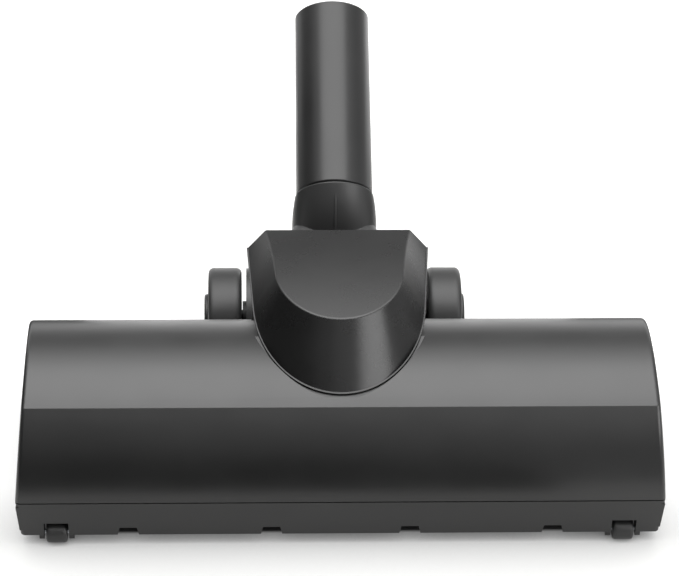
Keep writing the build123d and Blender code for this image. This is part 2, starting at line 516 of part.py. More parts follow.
def belt_loop(grow):
    """Solid loop outline: two pulley rounds joined by their outer tangents."""
    r1, r2 = BRUSH_PULLEY_R + grow, TURBINE_PULLEY_R + grow
    dy, dz = TURBINE_Y - BRUSH_Y, TURBINE_Z - BRUSH_Z
    span, heading = sqrt(dy ** 2 + dz ** 2), atan2(dz, dy)
    lean = asin((r1 - r2) / span)
    corners = []
    for y, z, r, sign in ((BRUSH_Y, BRUSH_Z, r1, 1), (TURBINE_Y, TURBINE_Z, r2, 1),
                          (TURBINE_Y, TURBINE_Z, r2, -1), (BRUSH_Y, BRUSH_Z, r1, -1)):
        turn = heading + sign * (radians(90) - lean)
        corners.append((y + r * cos(turn), z + r * sin(turn)))
    face = outline(corners) + Pos(BRUSH_Y, BRUSH_Z) * Circle(r1) + Pos(TURBINE_Y, TURBINE_Z) * Circle(r2)
    return side_prism(face, BELT_X - BELT_WIDTH / 2, BELT_X + BELT_WIDTH / 2)


def make_turbine_wheel():
    """Turbine: hub with flat blades and a disc at each end."""
    half = TURBINE_WIDTH / 2
    wheel = x_rod(HUB_R, -half, half, TURBINE_Y, TURBINE_Z)
    blade = box(-half, half, HUB_R - 1, TURBINE_R - 0.3, -BLADE_THICK / 2, BLADE_THICK / 2)
    for i in range(BLADE_COUNT):
        wheel += Pos(0, TURBINE_Y, TURBINE_Z) * Rot(i * 360 / BLADE_COUNT, 0, 0) * blade
    wheel += x_rod(TURBINE_R, -BLADE_THICK / 2, BLADE_THICK / 2, TURBINE_Y, TURBINE_Z)
    return wheel - x_rod(SHAFT_R + SEAT_CLEAR, -half - 1, half + 1, TURBINE_Y, TURBINE_Z)


def make_turbine_shaft():
    """Shaft through both bearings and the pulley."""
    pulley_end = max(high for low, high, radius in belt_track(TURBINE_PULLEY_R))
    return x_rod(SHAFT_R, -DUCT_SIDE_OUT - 2, pulley_end, TURBINE_Y, TURBINE_Z)


def make_turbine_pulley():
    """Small flanged pulley on the turbine shaft."""
    pulley = None
    for low, high, radius in belt_track(TURBINE_PULLEY_R):
        ring = x_rod(radius, low, high, TURBINE_Y, TURBINE_Z)
        pulley = ring if pulley is None else pulley + ring
    return pulley - x_rod(SHAFT_R + SEAT_CLEAR, 0, FAR, TURBINE_Y, TURBINE_Z)


def turbine_bush(side):
    """Plain bearing in the chamber's side wall."""
    low, high = sorted((side * DUCT_SIDE_IN, side * DUCT_SIDE_OUT))
    return x_rod(TURBINE_BUSH_R, low, high, TURBINE_Y, TURBINE_Z) - x_rod(
        SHAFT_R + RUN_CLEAR, low - 1, high + 1, TURBINE_Y, TURBINE_Z)


def brush_bush(side):
    """Plain bearing for the brush journal, seated in the base's saddle."""
    low, high = sorted((side * (BUSH_OUT_X - BUSH_LENGTH), side * BUSH_OUT_X))
    return x_rod(BUSH_R - SEAT_CLEAR, low, high, BRUSH_Y, BRUSH_Z) - x_rod(
        JOURNAL_R + RUN_CLEAR, low - 1, high + 1, BRUSH_Y, BRUSH_Z)


# Neck and pipe
PIPE_PLANE = Plane(origin=(0, PIPE_FOOT_Y, PIPE_FOOT_Z), x_dir=(1, 0, 0), z_dir=PIPE_AXIS)


def pivot_plane(back, up, tilt):
    """Plane across the elbow, placed from the tilt pivot."""
    return Plane(origin=(0, PIVOT_Y + back, PIVOT_Z + up), x_dir=(1, 0, 0),
                 z_dir=(0, cos(radians(tilt)), sin(radians(tilt))))


NECK_BACK, NECK_UP = NECK_RISE * cos(radians(NECK_TILT)), NECK_RISE * sin(radians(NECK_TILT))
NECK_PLANE = pivot_plane(NECK_BACK, NECK_UP, NECK_TILT)
NECK_MID_PLANE = pivot_plane((NECK_BACK + PIPE_FOOT_BACK) / 2, (NECK_UP + PIPE_FOOT_UP) / 2,
                             (NECK_TILT + PIPE_TILT) / 2)
SPIGOT_R = PIPE_BORE_R - RUN_CLEAR


def turned(points):
    """Turned solid on the pipe's axis from a half section of (radius, height)."""
    return PIPE_PLANE * revolve(Plane.XZ * outline(points), Axis.Z)


def rounded_drum(radius, half, rounding):
    """Drum on the tilt pivot with rounded ends."""
    drum = x_rod(radius, -half, half, PIVOT_Y, PIVOT_Z)
    return fillet(drum.edges().filter_by(GeomType.CIRCLE), rounding)


def elbow(grow, foot_r):
    """Elbow from the drum to the foot of the pipe, its three sections grown by `grow`."""
    return loft([NECK_PLANE * Ellipse(DRUM_HALF + grow, NECK_THIN + grow),
                 NECK_MID_PLANE * Ellipse(NECK_MID_HALF + grow, NECK_MID_DEEP + grow),
                 PIPE_PLANE * Circle(foot_r + grow)])


def make_tilt_neck():
    """Elbow: tilting drum with trunnions, a flared neck and the spigot that carries the pipe."""
    drum = rounded_drum(DRUM_R, DRUM_HALF, DRUM_ROUND)
    drum += x_rod(TRUNNION_R, -CHEEK_OUT_X, CHEEK_OUT_X, PIVOT_Y, PIVOT_Z)
    bead_half = NECK_BEAD_WIDTH / 2
    neck_r = PIPE_R_FOOT + NECK_LIP
    bead = elbow(NECK_BEAD, neck_r - NECK_ROUND - NECK_BEAD) & box(-bead_half, bead_half, 0, FAR, 0, FAR)
    bend = elbow(0, neck_r)
    bend = fillet(bend.edges().sort_by(Axis.Z)[-1], NECK_ROUND)
    spigot = turned([(0, -1), (SPIGOT_R, -1), (SPIGOT_R, SPIGOT_LENGTH), (0, SPIGOT_LENGTH)])
    solid = drum + bend + bead + spigot
    hollow = rounded_drum(DRUM_R - DRUM_WALL, DRUM_HALF - DRUM_WALL, DRUM_ROUND - DRUM_WALL)
    hollow += elbow(-DRUM_WALL, SPIGOT_BORE_R + DRUM_WALL)
    end = SPIGOT_LENGTH + 1
    hollow += turned([(0, -2), (SPIGOT_BORE_R, -2), (SPIGOT_BORE_R, end), (0, end)])
    half, low, high = duct_mouth(0)
    hollow += box(-half, half, PIVOT_Y - DRUM_R - 1, PIVOT_Y - DRUM_WALL, low + DRUM_WALL / 2, high)
    groove_r = SPIGOT_R - RING_BITE * 2
    seat = turned([(groove_r, RING_AT), (SPIGOT_R + 1, RING_AT), (SPIGOT_R + 1, RING_AT + RING_WIDTH),
                   (groove_r, RING_AT + RING_WIDTH)])
    return solid - hollow - seat


def make_swivel_ring():
    """Retaining ring in the spigot's groove that also bites into the pipe's inner groove."""
    low, high = RING_AT + SEAT_CLEAR, RING_AT + RING_WIDTH - SEAT_CLEAR
    inner, outer = SPIGOT_R - RING_BITE * 2 + SEAT_CLEAR, PIPE_BORE_R + RING_BITE
    return turned([(inner, low), (outer, low), (outer, high), (inner, high)])


def make_connector_pipe():
    """Tube socket: tapered outside, swivel bore below, stop ring, and the socket for the wand."""
    stop_low = SPIGOT_LENGTH + 2.0
    stop_high = PIPE_LENGTH - SOCKET_DEPTH
    groove_r = PIPE_BORE_R + RING_BITE + RING_CLEAR
    groove_low, groove_high = RING_AT - RING_CLEAR, RING_AT + RING_WIDTH + RING_CLEAR
    edge = 0.7
    return turned([
        (PIPE_BORE_R, PIPE_GAP), (PIPE_R_FOOT - edge, PIPE_GAP), (PIPE_R_FOOT, PIPE_GAP + edge),
        (PIPE_R_MOUTH, PIPE_LENGTH - edge), (PIPE_R_MOUTH - edge, PIPE_LENGTH),
        (PIPE_BORE_R, PIPE_LENGTH), (PIPE_BORE_R, stop_high), (PIPE_STOP_R, stop_high),
        (PIPE_STOP_R, stop_low), (PIPE_BORE_R, stop_low), (PIPE_BORE_R, groove_high),
        (groove_r, groove_high), (groove_r, groove_low), (PIPE_BORE_R, groove_low)])


# Wheels
def wheel_hub():
    """Right rear wheel's hub with a dished outer face."""
    out_x = WHEEL_IN_X + WHEEL_WIDTH
    rim_r = WHEEL_R - TYRE_THICK
    hub = x_rod(rim_r, WHEEL_IN_X, out_x, AXLE_Y, WHEEL_R)
    dish = x_rod(rim_r - 2.5, out_x - 2, out_x + 1, AXLE_Y, WHEEL_R) - x_rod(
        AXLE_HEAD_R + 2, out_x - 3, out_x + 1, AXLE_Y, WHEEL_R)
    return hub - dish - x_rod(AXLE_R + RUN_CLEAR, WHEEL_IN_X - 1, out_x + 1, AXLE_Y, WHEEL_R)


def wheel_tyre():
    """Right rear wheel's tread ring with rounded shoulders."""
    out_x = WHEEL_IN_X + WHEEL_WIDTH
    ring = x_rod(WHEEL_R, WHEEL_IN_X, out_x, AXLE_Y, WHEEL_R)
    ring = fillet(ring.edges().filter_by(GeomType.CIRCLE), TYRE_ROUND)
    return ring - x_rod(WHEEL_R - TYRE_THICK + SEAT_CLEAR, WHEEL_IN_X - 1, out_x + 1, AXLE_Y, WHEEL_R)


def wheel_axle():
    """Right rear axle pin with a domed head outside the hub."""
    out_x = WHEEL_IN_X + WHEEL_WIDTH + AXLE_PLAY
    pin = x_rod(AXLE_R, CHEEK_IN_X + 3, out_x + 0.5, AXLE_Y, WHEEL_R)
    head = x_rod(AXLE_HEAD_R, out_x, out_x + AXLE_HEAD, AXLE_Y, WHEEL_R)
    head = fillet(head.edges().filter_by(GeomType.CIRCLE).sort_by(Axis.X)[-1], AXLE_HEAD * 0.6)
    return pin + head


def front_roller():
    """Right front roller with rounded shoulders."""
    roller = x_rod(ROLLER_R, ROLLER_X - ROLLER_WIDTH / 2, ROLLER_X + ROLLER_WIDTH / 2, ROLLER_Y, ROLLER_R)
    roller = fillet(roller.edges().filter_by(GeomType.CIRCLE), ROLLER_ROUND)
    return roller - x_rod(ROLLER_PIN_R + RUN_CLEAR, 0, FAR, ROLLER_Y, ROLLER_R)


def front_axle():
    """Right front roller's pin."""
    half = ROLLER_PIN_LENGTH / 2 - 0.1
    return x_rod(ROLLER_PIN_R, ROLLER_X - half, ROLLER_X + half, ROLLER_Y, ROLLER_R)


def screw(x, y):
    """Housing screw, driven up from the sole."""
    head = Pos(x, y, SCREW_SEAT_Z - SCREW_HEAD / 2) * Cylinder(SCREW_HEAD_R, SCREW_HEAD)
    shank = Pos(x, y, SCREW_SEAT_Z + SCREW_LENGTH / 2) * Cylinder(SCREW_R, SCREW_LENGTH)
    return head + shank


def main():
    nodes = {
        "upper_housing": make_upper_housing(),
        "lower_housing": make_lower_housing(),
        "turbine_hood": make_turbine_hood(),
        "turbine_duct": make_turbine_duct(),
        "brush_core": make_brush_core(),
        "bristle_row_a": Compound(children=tufts(0)),
        "bristle_row_b": Compound(children=tufts(1)),
        "brush_bearing_left": brush_bush(-1),
        "brush_bearing_right": brush_bush(1),
        "turbine_wheel": make_turbine_wheel(),
        "turbine_shaft": make_turbine_shaft(),
        "turbine_pulley": make_turbine_pulley(),
        "turbine_bearing_left": turbine_bush(-1),
        "turbine_bearing_right": turbine_bush(1),
        "drive_belt": make_drive_belt(),
        "tilt_neck": make_tilt_neck(),
        "swivel_ring": make_swivel_ring(),
        "connector_pipe": make_connector_pipe(),
        "housing_screws": Compound(children=[screw(x, y) for x, y in SCREW_PLACES]),
        "lint_strip": strip_block(0, STRIP_DEPTH - 0.1),
    }
    pairs = {"rear_wheel": wheel_hub(), "rear_tyre": wheel_tyre(), "rear_axle": wheel_axle(),
             "front_roller": front_roller(), "front_axle": front_axle()}
    for name, right in pairs.items():
        nodes[name + "_right"] = right
        nodes[name + "_left"] = mirror(right, about=Plane.YZ)
    os.makedirs("parts", exist_ok=True)
    for name, shape in nodes.items():
        export_step(Pos(0, -MIDDLE_Y, 0) * shape, f"parts/{name}.step")
    print(f"middle at {MIDDLE_Y:.4f} behind the front face, {len(nodes)} nodes")


if __name__ == "__main__":
    main()
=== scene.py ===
# %% [markdown]
# # Turbo floor brush head
# This lesson dresses the engineering model of an air-driven vacuum floor brush. The rigid
# mouldings come from CAD and stay as they are, so most of the work is in three places:
# plastics that look moulded, a studio that explains their shape, and the few small pieces
# that CAD leaves plain, such as bristles, screw heads and felt.

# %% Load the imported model
import math
import random

import bmesh
import bpy
from mathutils import Matrix, Vector


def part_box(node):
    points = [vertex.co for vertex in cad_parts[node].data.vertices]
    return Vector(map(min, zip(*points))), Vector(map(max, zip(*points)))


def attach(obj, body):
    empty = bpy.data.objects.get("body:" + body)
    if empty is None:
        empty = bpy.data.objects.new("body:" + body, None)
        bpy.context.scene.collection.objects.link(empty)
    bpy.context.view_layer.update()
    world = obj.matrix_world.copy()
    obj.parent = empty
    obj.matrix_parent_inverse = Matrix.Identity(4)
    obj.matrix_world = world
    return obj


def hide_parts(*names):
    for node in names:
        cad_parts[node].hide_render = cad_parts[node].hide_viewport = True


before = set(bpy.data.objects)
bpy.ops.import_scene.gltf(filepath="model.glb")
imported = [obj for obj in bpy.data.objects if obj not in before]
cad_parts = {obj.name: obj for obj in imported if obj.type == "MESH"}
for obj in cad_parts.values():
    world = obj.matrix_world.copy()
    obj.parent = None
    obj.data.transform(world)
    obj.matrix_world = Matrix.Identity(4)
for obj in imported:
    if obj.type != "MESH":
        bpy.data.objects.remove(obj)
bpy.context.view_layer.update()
MM = 0.001

# %% [markdown]
# ## The camera
# The photograph looks down at about 38 degrees, almost square on, through a long lens. The
# middle of the seam at the front is the fixed point: the camera is put where that point
# falls on its own pixel. Building the camera's axes by hand keeps the slight yaw and roll of
# the original framing, which a Track To constraint would lose.

# %% Camera at the photograph's angle
IMAGE_WIDTH, IMAGE_HEIGHT = 679, 576
FOCAL_PIXELS = 2791.0
SEAM_PIXEL = (341.5, 502.4)      # where the middle of the seam falls in the picture
SEAM_HEIGHT = 25 * MM
ELEVATION, YAW, ROLL = math.radians(37.93), math.radians(2.12), math.radians(1.11)
DISTANCE = 1199 * MM
SENSOR_MM = 36
CLIP_NEAR, CLIP_FAR = 0.05, 60

forward = Vector((math.sin(YAW) * math.cos(ELEVATION), math.cos(YAW) * math.cos(ELEVATION),
                  -math.sin(ELEVATION)))
level_right = Vector((math.cos(YAW), -math.sin(YAW), 0))
level_up = level_right.cross(forward)
right = math.cos(ROLL) * level_right + math.sin(ROLL) * level_up
up = -math.sin(ROLL) * level_right + math.cos(ROLL) * level_up
per_pixel = DISTANCE / FOCAL_PIXELS
across = (SEAM_PIXEL[0] - IMAGE_WIDTH / 2) * per_pixel
along = (IMAGE_HEIGHT / 2 - SEAM_PIXEL[1]) * per_pixel
seam_front = Vector((0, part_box("upper_housing")[0].y, SEAM_HEIGHT))
place = seam_front - across * right - along * up - DISTANCE * forward

lens = bpy.data.cameras.new("studio_camera")
lens.sensor_fit = "HORIZONTAL"
lens.sensor_width = SENSOR_MM
lens.lens = FOCAL_PIXELS / IMAGE_WIDTH * SENSOR_MM
lens.clip_start, lens.clip_end = CLIP_NEAR, CLIP_FAR
camera = bpy.data.objects.new("studio_camera", lens)
bpy.context.scene.collection.objects.link(camera)
axes = Matrix((right, up, -forward)).transposed().to_4x4()
camera.matrix_world = Matrix.Translation(place) @ axes
bpy.context.scene.camera = camera
print("lens", round(lens.lens, 2), "mm, camera at", [round(v, 3) for v in place])

# %% [markdown]
# ## Small helpers
# Colours are written as the sRGB hex values that a paint chart gives, and Blender's sockets
# take linear light, so one function converts them. A second function adds a node with its
# settings and links, which keeps each material readable as a list of what it is made of.

# %% Colour and node helpers
# A Mix node has sockets for every kind of data, so its colour sockets are named by place.
FACTOR, COLOUR_A, COLOUR_B, MIXED = 0, 6, 7, 2


def linear(code):
    """sRGB hex to linear RGBA."""
    parts = [int(code[i:i + 2], 16) / 255 for i in (1, 3, 5)]
    return [p / 12.92 if p <= 0.04045 else ((p + 0.055) / 1.055) ** 2.4 for p in parts] + [1]


def add(tree, kind, settings=None, inputs=None):
    """One node: plain settings first, then inputs, which are values or another node's output."""
    made = tree.nodes.new(kind)
    for name, value in (settings or {}).items():
        setattr(made, name, value)
    for name, value in (inputs or {}).items():
        if isinstance(value, bpy.types.NodeSocket):
            tree.links.new(value, made.inputs[name])
        else:
            made.inputs[name].default_value = value
    return made


def blank(name):
    """A material with an empty node tree."""
    material = bpy.data.materials.new(name)
    material.use_nodes = True
    material.node_tree.nodes.clear()
    return material, material.node_tree


print("mid grey #808080 in linear light:", round(linear("#808080")[0], 3))

# %% [markdown]
# ## Moulded ABS
# The shell is dark charcoal ABS from a spark-eroded mould. The eye sees an almost black
# colour under a broad satin sheen, a grain of a few tenths of a millimetre, faint cloudiness
# where the melt flowed, and edges that are never razor sharp. The grain is drawn at half a
# millimetre, a little coarser than life, so that it survives in a small picture. The Bevel
# node rounds the normals at each edge, which gives the thin bright line of a moulded corner.
# A bevel in the mesh would give it too, but the CAD meshes stay as they are.

# %% Moulded plastic
GRAIN_MM, CLOUD_MM = 0.5, 22
SATIN_SPREAD = 0.025             # how far the clouds move the roughness, either way
GRAIN_HEIGHT = 0.2 * MM          # what a bump of full strength stands for
EDGE_SAMPLES = 6


def moulded(name, colour, cloudy, roughness, grain_depth=0.05, edge_mm=0.5, ior=1.5):
    """Satin injection-moulded plastic: two close colours, flow clouds and fine grain."""
    material, tree = blank(name)
    place_on = add(tree, "ShaderNodeTexCoord").outputs["Object"]
    clouds = add(tree, "ShaderNodeTexNoise", None,
                 {"Vector": place_on, "Scale": 1 / (CLOUD_MM * MM), "Detail": 4,
                  "Roughness": 0.62}).outputs["Fac"]
    grain = add(tree, "ShaderNodeTexNoise", None,
                {"Vector": place_on, "Scale": 1 / (GRAIN_MM * MM), "Detail": 2,
                 "Roughness": 0.6}).outputs["Fac"]
    tint = add(tree, "ShaderNodeMix", {"data_type": "RGBA"},
               {FACTOR: clouds, COLOUR_A: linear(colour), COLOUR_B: linear(cloudy)})
    satin = add(tree, "ShaderNodeMapRange", None,
                {"Value": clouds, "From Min": 0.3, "From Max": 0.7,
                 "To Min": roughness - SATIN_SPREAD, "To Max": roughness + SATIN_SPREAD})
    corner = add(tree, "ShaderNodeBevel", {"samples": EDGE_SAMPLES}, {"Radius": edge_mm * MM})
    relief = add(tree, "ShaderNodeBump", None,
                 {"Height": grain, "Strength": grain_depth, "Distance": GRAIN_HEIGHT,
                  "Normal": corner.outputs["Normal"]})
    surface = add(tree, "ShaderNodeBsdfPrincipled", None,
                  {"Base Color": tint.outputs[MIXED], "Roughness": satin.outputs["Result"],
                   "IOR": ior, "Normal": relief.outputs["Normal"]})
    add(tree, "ShaderNodeOutputMaterial", None, {"Surface": surface.outputs["BSDF"]})
    return material


# The cover and pipe are satin, the base, neck and wheels duller, the hood the glossiest.
charcoal_abs = moulded("charcoal_abs", "#1f1f1f", "#242424", 0.34, edge_mm=0.2, ior=1.53)
base_abs = moulded("base_abs", "#212121", "#262626", 0.42, edge_mm=0.2)
hood_abs = moulded("hood_abs", "#151515", "#191919", 0.28, grain_depth=0.02, edge_mm=0.2)
pipe_abs = moulded("pipe_abs", "#1b1b1b", "#202020", 0.34, ior=1.46)
neck_abs = moulded("neck_abs", "#2a2a2a", "#303030", 0.42)
wheel_abs = moulded("wheel_abs", "#272727", "#2d2d2d", 0.42)
inner_pp = moulded("inner_polypropylene", "#2a2b2d", "#303133", 0.48, grain_depth=0.03)
print("plastics:", [material.name for material in bpy.data.materials])

# %% [markdown]
# ## Rubber
# The tyres and front rollers are a soft moulded elastomer, duller than the shell, with round
# shoulders and a dusty look at a glancing angle. The belt is a darker, duller rubber with
# sharper edges. Plain grey would also pass from far away, but fine pimples and faint patches
# of dust keep the rubber from looking like the plastic beside it. The pimples are drawn
# coarser than life, at 0.6 mm, so that they show.

# %% Tyre and belt rubber
PIMPLE_MM, DUST_MM = 0.6, 9
DUST_LIFT = 1.35                 # how much lighter a dusty patch is


def rubber(name, colour, roughness, sheen, shoulder_mm):
    """Soft elastomer: fine pimples, round shoulders and a dusty look at a glancing angle."""
    material, tree = blank(name)
    place_on = add(tree, "ShaderNodeTexCoord").outputs["Object"]
    pimples = add(tree, "ShaderNodeTexNoise", None,
                  {"Vector": place_on, "Scale": 1 / (PIMPLE_MM * MM), "Detail": 3,
                   "Roughness": 0.7})
    dust = add(tree, "ShaderNodeTexNoise", None,
               {"Vector": place_on, "Scale": 1 / (DUST_MM * MM), "Detail": 3, "Roughness": 0.6})
    dusty = [min(1, c * DUST_LIFT) for c in linear(colour)[:3]] + [1]
    tint = add(tree, "ShaderNodeMix", {"data_type": "RGBA"},
               {FACTOR: dust.outputs["Fac"], COLOUR_A: linear(colour), COLOUR_B: dusty})
    corner = add(tree, "ShaderNodeBevel", {"samples": EDGE_SAMPLES},
                 {"Radius": shoulder_mm * MM})
    relief = add(tree, "ShaderNodeBump", None,
                 {"Height": pimples.outputs["Fac"], "Strength": 0.12, "Distance": 0.2 * MM,
                  "Normal": corner.outputs["Normal"]})
    surface = add(tree, "ShaderNodeBsdfPrincipled", None,
                  {"Base Color": tint.outputs[MIXED], "Roughness": roughness, "IOR": 1.47,
                   "Sheen Weight": sheen, "Sheen Roughness": 0.5,
                   "Normal": relief.outputs["Normal"]})
    add(tree, "ShaderNodeOutputMaterial", None, {"Surface": surface.outputs["BSDF"]})
    return material


tyre_rubber = rubber("tyre_elastomer", "#252525", 0.44, sheen=0.04, shoulder_mm=2.4)
belt_rubber = rubber("belt_rubber", "#161616", 0.6, sheen=0.05, shoulder_mm=0.4)
print("rubbers:", tyre_rubber.name, belt_rubber.name)

# %% [markdown]
# ## Metals
# The bearings are sintered bronze, full of fine pores, and the pins and screws are bright
# zinc-plated steel with a slightly uneven coat. Both are bare metal with a fine pattern in
# colour and gloss, so one function makes both. Real pores are finer than a tenth of a
# millimetre, and here they are drawn at 0.4 mm so that they show.

# %% Steel and bronze
GLOSS_SPREAD = 0.08


def metal(name, colour, worn, roughness, pore_mm):
    """Plain metal with a fine pattern in its gloss and colour."""
    material, tree = blank(name)
    place_on = add(tree, "ShaderNodeTexCoord").outputs["Object"]
    pores = add(tree, "ShaderNodeTexNoise", None,
                {"Vector": place_on, "Scale": 1 / (pore_mm * MM), "Detail": 4,
                 "Roughness": 0.65}).outputs["Fac"]
    tint = add(tree, "ShaderNodeMix", {"data_type": "RGBA"},
               {FACTOR: pores, COLOUR_A: linear(colour), COLOUR_B: linear(worn)})
    gloss = add(tree, "ShaderNodeMapRange", None,
                {"Value": pores, "To Min": roughness - GLOSS_SPREAD,
                 "To Max": roughness + GLOSS_SPREAD})
    relief = add(tree, "ShaderNodeBump", None,
                 {"Height": pores, "Strength": 0.1, "Distance": 0.1 * MM})
    surface = add(tree, "ShaderNodeBsdfPrincipled", None,
                  {"Base Color": tint.outputs[MIXED], "Metallic": 1.0,
                   "Roughness": gloss.outputs["Result"], "Normal": relief.outputs["Normal"]})
    add(tree, "ShaderNodeOutputMaterial", None, {"Surface": surface.outputs["BSDF"]})
    return material


zinc_steel = metal("zinc_plated_steel", "#b9bcc0", "#9fa3a8", 0.28, pore_mm=0.8)
bronze = metal("sintered_bronze", "#8f6a3e", "#75552f", 0.45, pore_mm=0.4)
print("metals:", zinc_steel.name, bronze.name)

# %% [markdown]
# ## Felt
# The lint strip is pressed wool felt, a tangle of fibres a few hundredths of a millimetre
# thick that catch light at a glancing angle. A texture of every fibre would be too fine to
# see, so a stretched noise stands for the tangle. It is drawn far coarser than life, at half
# a millimetre, so that it shows, with a deep bump and a strong sheen.

# %% Pressed felt
FIBRE_MM = 0.5
FIBRE_STRETCH = (0.35, 1, 1)     # fibres lie along the strip

red_felt, tree = blank("pressed_felt")
place_on = add(tree, "ShaderNodeTexCoord").outputs["Object"]
turned = add(tree, "ShaderNodeMapping", None, {"Vector": place_on, "Scale": FIBRE_STRETCH})
fibre = add(tree, "ShaderNodeTexNoise", None,
            {"Vector": turned.outputs["Vector"], "Scale": 1 / (FIBRE_MM * MM), "Detail": 5,
             "Roughness": 0.75, "Distortion": 1.5}).outputs["Fac"]
tint = add(tree, "ShaderNodeMix", {"data_type": "RGBA"},
           {FACTOR: fibre, COLOUR_A: linear("#5d1f1f"), COLOUR_B: linear("#8a3a35")})
relief = add(tree, "ShaderNodeBump", None,
             {"Height": fibre, "Strength": 0.7, "Distance": FIBRE_MM * MM})
surface = add(tree, "ShaderNodeBsdfPrincipled", None,
              {"Base Color": tint.outputs[MIXED], "Roughness": 0.95, "Sheen Weight": 0.5,
               "Sheen Roughness": 0.6, "Normal": relief.outputs["Normal"]})
add(tree, "ShaderNodeOutputMaterial", None, {"Surface": surface.outputs["BSDF"]})
print("felt:", red_felt.name, "with", len(tree.nodes), "nodes")

# %% [markdown]
# ## Nylon
# The bristles are drawn nylon: smooth, fairly glossy and nearly black, with single strands
# that catch more light than others. Each strand could have a material of its own, but a
# noise about three strands wide paints some strands lighter, a painted highlight for those
# that catch more light, well enough for pieces this thin.

# %% Bristle nylon
STRAND_SHADE_MM = 1.5

nylon, tree = blank("nylon_bristle")
along_fibre = add(tree, "ShaderNodeTexCoord").outputs["Object"]
shade = add(tree, "ShaderNodeTexNoise", None,
            {"Vector": along_fibre, "Scale": 1 / (STRAND_SHADE_MM * MM), "Detail": 2})
# Painted highlight: the noise lightens the colour of some strands.
tint = add(tree, "ShaderNodeMix", {"data_type": "RGBA"},
           {FACTOR: shade.outputs["Fac"], COLOUR_A: linear("#141415"),
            COLOUR_B: linear("#3a3b3d")})
strand = add(tree, "ShaderNodeBsdfPrincipled", None,
             {"Base Color": tint.outputs[MIXED], "Roughness": 0.38, "IOR": 1.53})
add(tree, "ShaderNodeOutputMaterial", None, {"Surface": strand.outputs["BSDF"]})
print("materials:", len(bpy.data.materials))

# %% [markdown]
# ## Finish on the CAD pieces
# On the real head each moulding is one plastic all through, so each piece takes one finish.
# The finish could be painted face by face, but a CAD mesh is never edited. Each one has its
# own material slot, and the finish goes there.

# %% Assign finishes to the CAD nodes
FINISHES = {
    charcoal_abs: ["upper_housing"],
    neck_abs: ["tilt_neck"],
    base_abs: ["lower_housing"],
    hood_abs: ["turbine_hood"],
    pipe_abs: ["connector_pipe"],
    wheel_abs: ["rear_wheel_left", "rear_wheel_right", "rear_axle_left", "rear_axle_right"],
    tyre_rubber: ["rear_tyre_left", "rear_tyre_right", "front_roller_left",
                  "front_roller_right"],
    inner_pp: ["turbine_duct", "turbine_wheel", "turbine_pulley", "brush_core", "swivel_ring"],
    belt_rubber: ["drive_belt"],
    zinc_steel: ["turbine_shaft", "housing_screws", "front_axle_left", "front_axle_right"],
    bronze: ["brush_bearing_left", "brush_bearing_right", "turbine_bearing_left",
             "turbine_bearing_right"],
    red_felt: ["lint_strip"],
    nylon: ["bristle_row_a", "bristle_row_b"],
}
for finish, names in FINISHES.items():
    for name in names:
        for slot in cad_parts[name].material_slots:
            slot.material = finish
print("finished nodes:", sum(len(names) for names in FINISHES.values()))

# %% [markdown]
# ## Bristle tufts
# On the real roll each hole holds a bundle of nylon strands that spread at the tip. Here
# each plug becomes nineteen thin cones. A particle system would also do it, but cones keep
# the count low and turn with the roll as one mesh.

# %% One bundle of strands
CORE_R, BRUSH_R, HOLE_DEPTH = 11.5, 26.0, 2.5            # millimetres, as on the roll
STRAND_ROOT_R, STRAND_TIP_R, STRAND_SIDES = 0.30, 0.17, 5
RINGS = ((0.0, 1), (0.75, 6), (1.45, 12))                # radius in millimetres, strands
SHORTEST_BY = 0.9                                        # cut ends differ by up to this
LEAN, LEAN_OUTWARD = 0.02, 0.035                         # radians, and radians per millimetre
TURN_SPREAD, LEAN_SPREAD = 0.15, 0.012                   # radians, either way


def bundle(bm, seat, chance):
    """One tuft: nineteen tapered strands in three rings, fanned out at the tip."""
    reach = BRUSH_R - CORE_R + HOLE_DEPTH
    for radius, count in RINGS:
        for k in range(count):
            turn = 2 * math.pi * k / count + chance.uniform(-TURN_SPREAD, TURN_SPREAD)
            length = reach - chance.uniform(0.0, SHORTEST_BY)
            lean = LEAN + LEAN_OUTWARD * radius + chance.uniform(-LEAN_SPREAD, LEAN_SPREAD)
            root = Matrix.Translation((radius * math.cos(turn) * MM,
                                       radius * math.sin(turn) * MM, 0))
            fan = Matrix.Rotation(lean, 4, Vector((-math.sin(turn), math.cos(turn), 0)))
            middle = Matrix.Translation((0, 0, length / 2 * MM))
            bmesh.ops.create_cone(bm, cap_ends=True, segments=STRAND_SIDES,
                                  radius1=STRAND_ROOT_R * MM, radius2=STRAND_TIP_R * MM,
                                  depth=length * MM, matrix=seat @ root @ fan @ middle)


print("strands in a bundle:", sum(count for radius, count in RINGS))

# %% Two rows of bundles on the roll
FIRST_TUFT, TUFT_PITCH, TUFT_COUNT = 8.0, 9.0, 13        # millimetres from the roll's middle
TUFT_TURN, CORE_HALF = 216, 127.5                        # degrees of twist over half the core
BELT_ROOM = 6.3                                          # no tuft this close to the belt
STRAND_SEED = 20                                         # of row a, and the next of row b
TWIST = TUFT_TURN / CORE_HALF
belt_low, belt_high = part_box("drive_belt")
belt_x = (belt_low.x + belt_high.x) / 2 / MM
roll_low, roll_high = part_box("brush_core")
roll_axis = (roll_low + roll_high) / 2
roll_axis.x = 0


def object_from(bm, name, finish):
    """Turns a bmesh into an object at the origin with one finish."""
    mesh = bpy.data.meshes.new(name)
    bm.to_mesh(mesh)
    bm.free()
    mesh.materials.append(finish)
    made = bpy.data.objects.new(name, mesh)
    bpy.context.scene.collection.objects.link(made)
    return made


def piece_from(bm, name, finish, body):
    """An object that rides on a CAD body."""
    made = object_from(bm, name, finish)
    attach(made, body)
    return made


